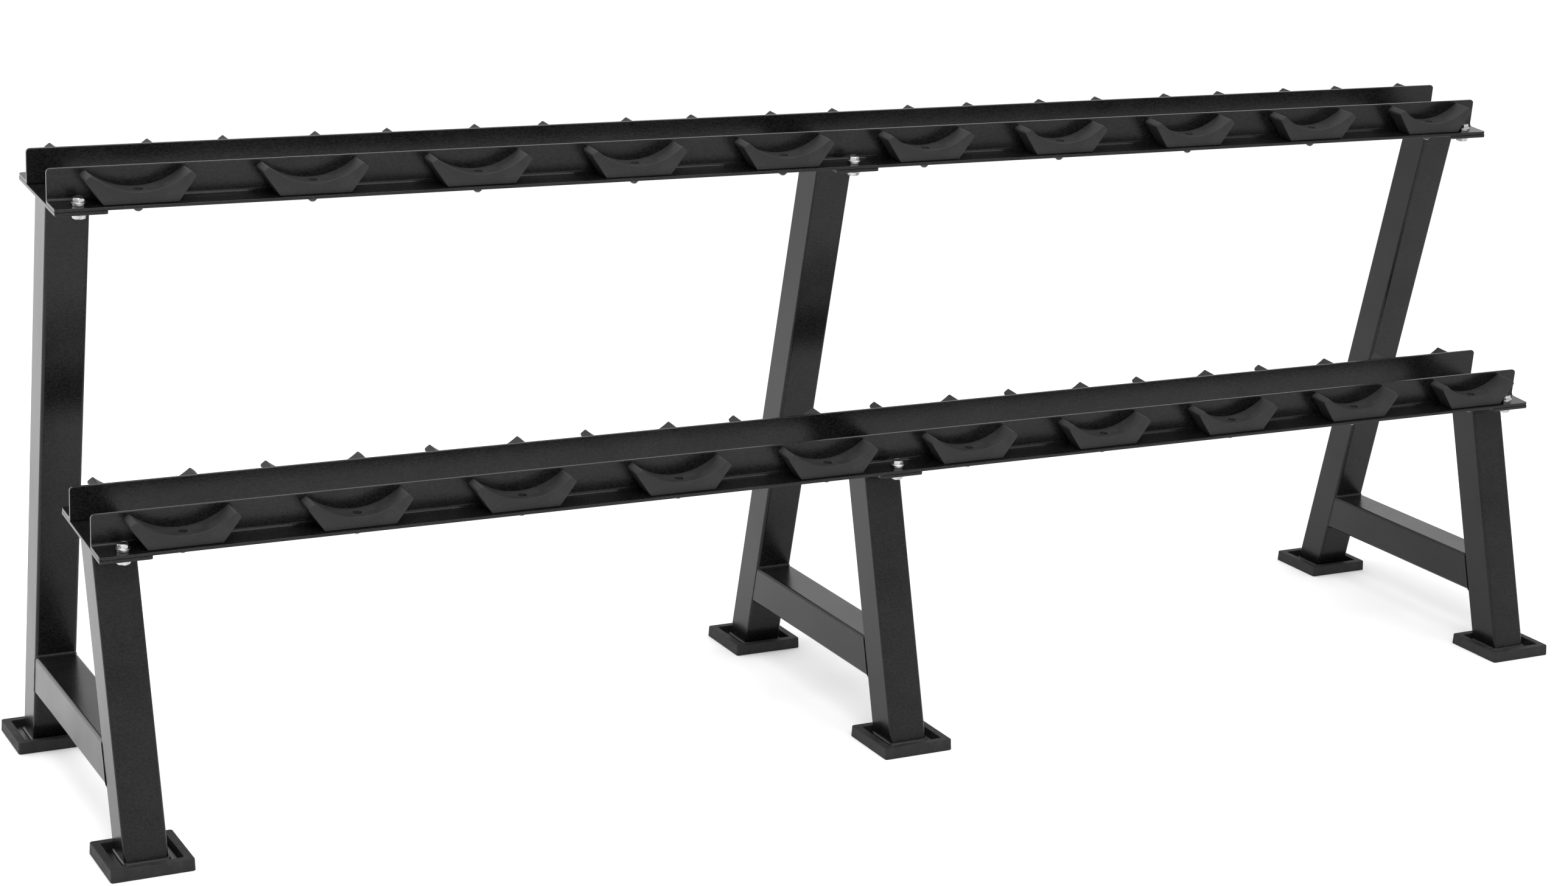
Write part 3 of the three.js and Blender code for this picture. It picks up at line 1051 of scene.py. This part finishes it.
def build_supports(coat, weld_coat, rubber):
    """The three supports with their trays and weld beads."""
    tubes = {leg: leg_tube_mesh(leg) for leg in LEGS}
    top_plate = top_plate_mesh()
    foot_plate = foot_plate_mesh()
    tray = tray_mesh()
    brace = brace_mesh()
    for side, x in SUPPORTS.items():
        place = move(x, 0, 0)
        for leg, (_, _, shelf) in LEGS.items():
            foot_y = FOOT_Y if leg == "rear" else -FOOT_Y
            node = f"{leg}_leg_{side}"
            show(f"{node}_tube", tubes[leg], coat, place, node)
            on_shelf = shelf_matrix(shelf) @ move(x, 0, 0)
            show(f"{node}_top_plate", top_plate, coat, on_shelf, node)
            stand = move(x, foot_y, 0)
            show(f"{node}_foot_plate", foot_plate, coat, stand, node)
            tray_node = f"foot_tray_{leg}_{side}"
            show(f"{tray_node}_rubber", tray, rubber, stand, tray_node)
        brace_node = f"cross_brace_{side}"
        show(f"{brace_node}_tube", brace, coat, place, brace_node)
    build_welds(weld_coat)


def build_welds(weld_coat):
    """Three beads on each leg, each a little different from the others."""
    makers = {"foot": foot_weld, "top": top_weld, "brace": brace_weld}
    seed = 0
    for side, x in SUPPORTS.items():
        place = move(x, 0, 0)
        for leg in LEGS:
            seed += 1
            for kind, make in makers.items():
                name = f"weld_{kind}_{leg}_{side}"
                show(name, make(leg, seed), weld_coat, place, flat=False)


def build_shelves(coat, plastic, bright, black):
    """Both shelves: rails, saddles, and every bolt, screw and nut."""
    rails = {
        "front": rail_mesh(SADDLE_X["front"]),
        "rear": rail_mesh([-x for x in SADDLE_X["rear"]]),
    }
    saddle = saddle_mesh()
    bolt = finish_surface(frame_bolt_shape().mesh("frame_bolt"))
    screw = finish_surface(saddle_screw_shape().mesh("saddle_screw"))
    nut = finish_surface(saddle_nut_shape().mesh("saddle_nut"))
    shank = finish_surface(saddle_shank_shape().mesh("saddle_shank"))
    turner = random.Random(41)
    head_seat = SADDLE_SEAT + SADDLE_HEAD_SEAT

    def turn():
        """Each fastener has been screwed home to an angle of its own."""
        return Matrix.Rotation(turner.uniform(0, 2 * math.pi), 4, "Z")

    for shelf in SHELVES:
        for side in SADDLE_X:
            node = f"rail_{shelf}_{side}"
            place = spot(shelf, side, 0, 0, RAIL_SEAT)
            show(f"{node}_angle", rails[side], coat, place, node)
            for support, x in SUPPORTS.items():
                at = spot(shelf, side, x, FRAME_BOLT_INSET, RAIL_TOP) @ turn()
                show(f"bolt_{shelf}_{side}_{support}", bolt, bright, at)
            for i, x in enumerate(SADDLE_X[side]):
                number = f"{shelf}_{side}_{i + 1:02d}"
                name = f"saddle_{number}"
                at = spot(shelf, side, x, 0, SADDLE_SEAT)
                show(f"{name}_block", saddle, plastic, at, name)
                head = spot(shelf, side, x, SADDLE_MIDDLE, head_seat) @ turn()
                show(f"screw_{number}", screw, black, head)
                show(f"shank_{number}", shank, bright, head)
                under = spot(shelf, side, x, SADDLE_MIDDLE, RAIL_SEAT) @ turn()
                show(f"nut_{number}", nut, black, under)


# ---- Studio ----

FLOOR_SIZE = 30000
FLOOR_CORNER = 50
FLOOR_TOP = -0.2  # just clear of the trays
FLOOR_BOTTOM = -20.0
SKY_STRENGTH = 1.06


def add_floor():
    """A plain slab that reaches far out of every view."""
    outline = rounded_rectangle(FLOOR_SIZE, FLOOR_SIZE, FLOOR_CORNER, 2)
    rings = []
    for z in (FLOOR_BOTTOM, FLOOR_TOP):
        rings.append([(x, y, z) for x, y in outline])
    floor = make_object("floor", Shape().stack(rings).mesh("floor"))
    floor.data.materials.append(pale_floor())


def add_area_light(name, place, target, size, power):
    """A soft light at a place, in metres, that looks at a target."""
    light = bpy.data.lights.new(name, "AREA")
    light.shape = "RECTANGLE"
    light.size, light.size_y = size
    light.energy = power
    lamp = bpy.data.objects.new(name, light)
    lamp.location = place
    away = Vector(target) - Vector(place)
    lamp.rotation_euler = away.to_track_quat("-Z", "Y").to_euler()
    lamp.visible_camera = False
    bpy.context.scene.collection.objects.link(lamp)


def add_light():
    """White surroundings and three soft lights."""
    world = bpy.data.worlds.new("studio")
    world.use_nodes = True
    background = world.node_tree.nodes["Background"]
    background.inputs["Color"].default_value = (1, 1, 1, 1)
    background.inputs["Strength"].default_value = SKY_STRENGTH
    bpy.context.scene.world = world
    add_area_light("overhead", (0.0, -0.6, 3.6), (0, 0, 0.3), (4.5, 3.0), 60)
    add_area_light("front_high", (-1.2, -3.4, 3.4), (0, 0, 0.5), (2.6, 0.8), 70)
    add_area_light("left_wall", (-2.3, 1.2, 0.85), (-1.2, 0.6, 0.6), (2.6, 1.7), 17)


def add_camera():
    """Turned by yaw, pitch and roll; the shift only frames the view."""
    level = math.cos(CAMERA_PITCH)
    ahead_x = math.sin(CAMERA_YAW) * level
    ahead_y = math.cos(CAMERA_YAW) * level
    forward = Vector((ahead_x, ahead_y, -math.sin(CAMERA_PITCH)))
    right = Vector((math.cos(CAMERA_YAW), -math.sin(CAMERA_YAW), 0))
    up = right.cross(forward)
    cos_roll = math.cos(CAMERA_ROLL)
    sin_roll = math.sin(CAMERA_ROLL)
    across = right * cos_roll + up * sin_roll
    upwards = up * cos_roll - right * sin_roll
    turn = Matrix((across, upwards, -forward)).transposed()
    data = bpy.data.cameras.new("camera")
    data.sensor_width = SENSOR_WIDTH
    data.sensor_fit = "HORIZONTAL"
    data.lens = LENS
    data.shift_x = SHIFT_X
    data.shift_y = SHIFT_Y
    data.clip_end = 100
    camera = bpy.data.objects.new("camera", data)
    camera.matrix_world = Matrix.Translation(Vector(CAMERA_PLACE) * MM) @ turn.to_4x4()
    bpy.context.scene.collection.objects.link(camera)
    bpy.context.scene.camera = camera


# ---- The scene ----

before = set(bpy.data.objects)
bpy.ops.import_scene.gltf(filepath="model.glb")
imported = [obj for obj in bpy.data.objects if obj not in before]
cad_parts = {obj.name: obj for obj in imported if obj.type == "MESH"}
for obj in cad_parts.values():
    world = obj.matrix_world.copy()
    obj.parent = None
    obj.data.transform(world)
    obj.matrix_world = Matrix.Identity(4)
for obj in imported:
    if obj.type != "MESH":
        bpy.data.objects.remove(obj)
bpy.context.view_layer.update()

add_camera()
add_light()
add_floor()

frame_coat = powder_coat("frame_coat", 0.00018)
weld_coat = powder_coat("weld_coat", 0.00024)
rubber_look = foot_rubber()
build_supports(frame_coat, weld_coat, rubber_look)
build_shelves(frame_coat, saddle_plastic(), zinc(), black_steel())

bpy.context.scene.view_settings.view_transform = "Standard"
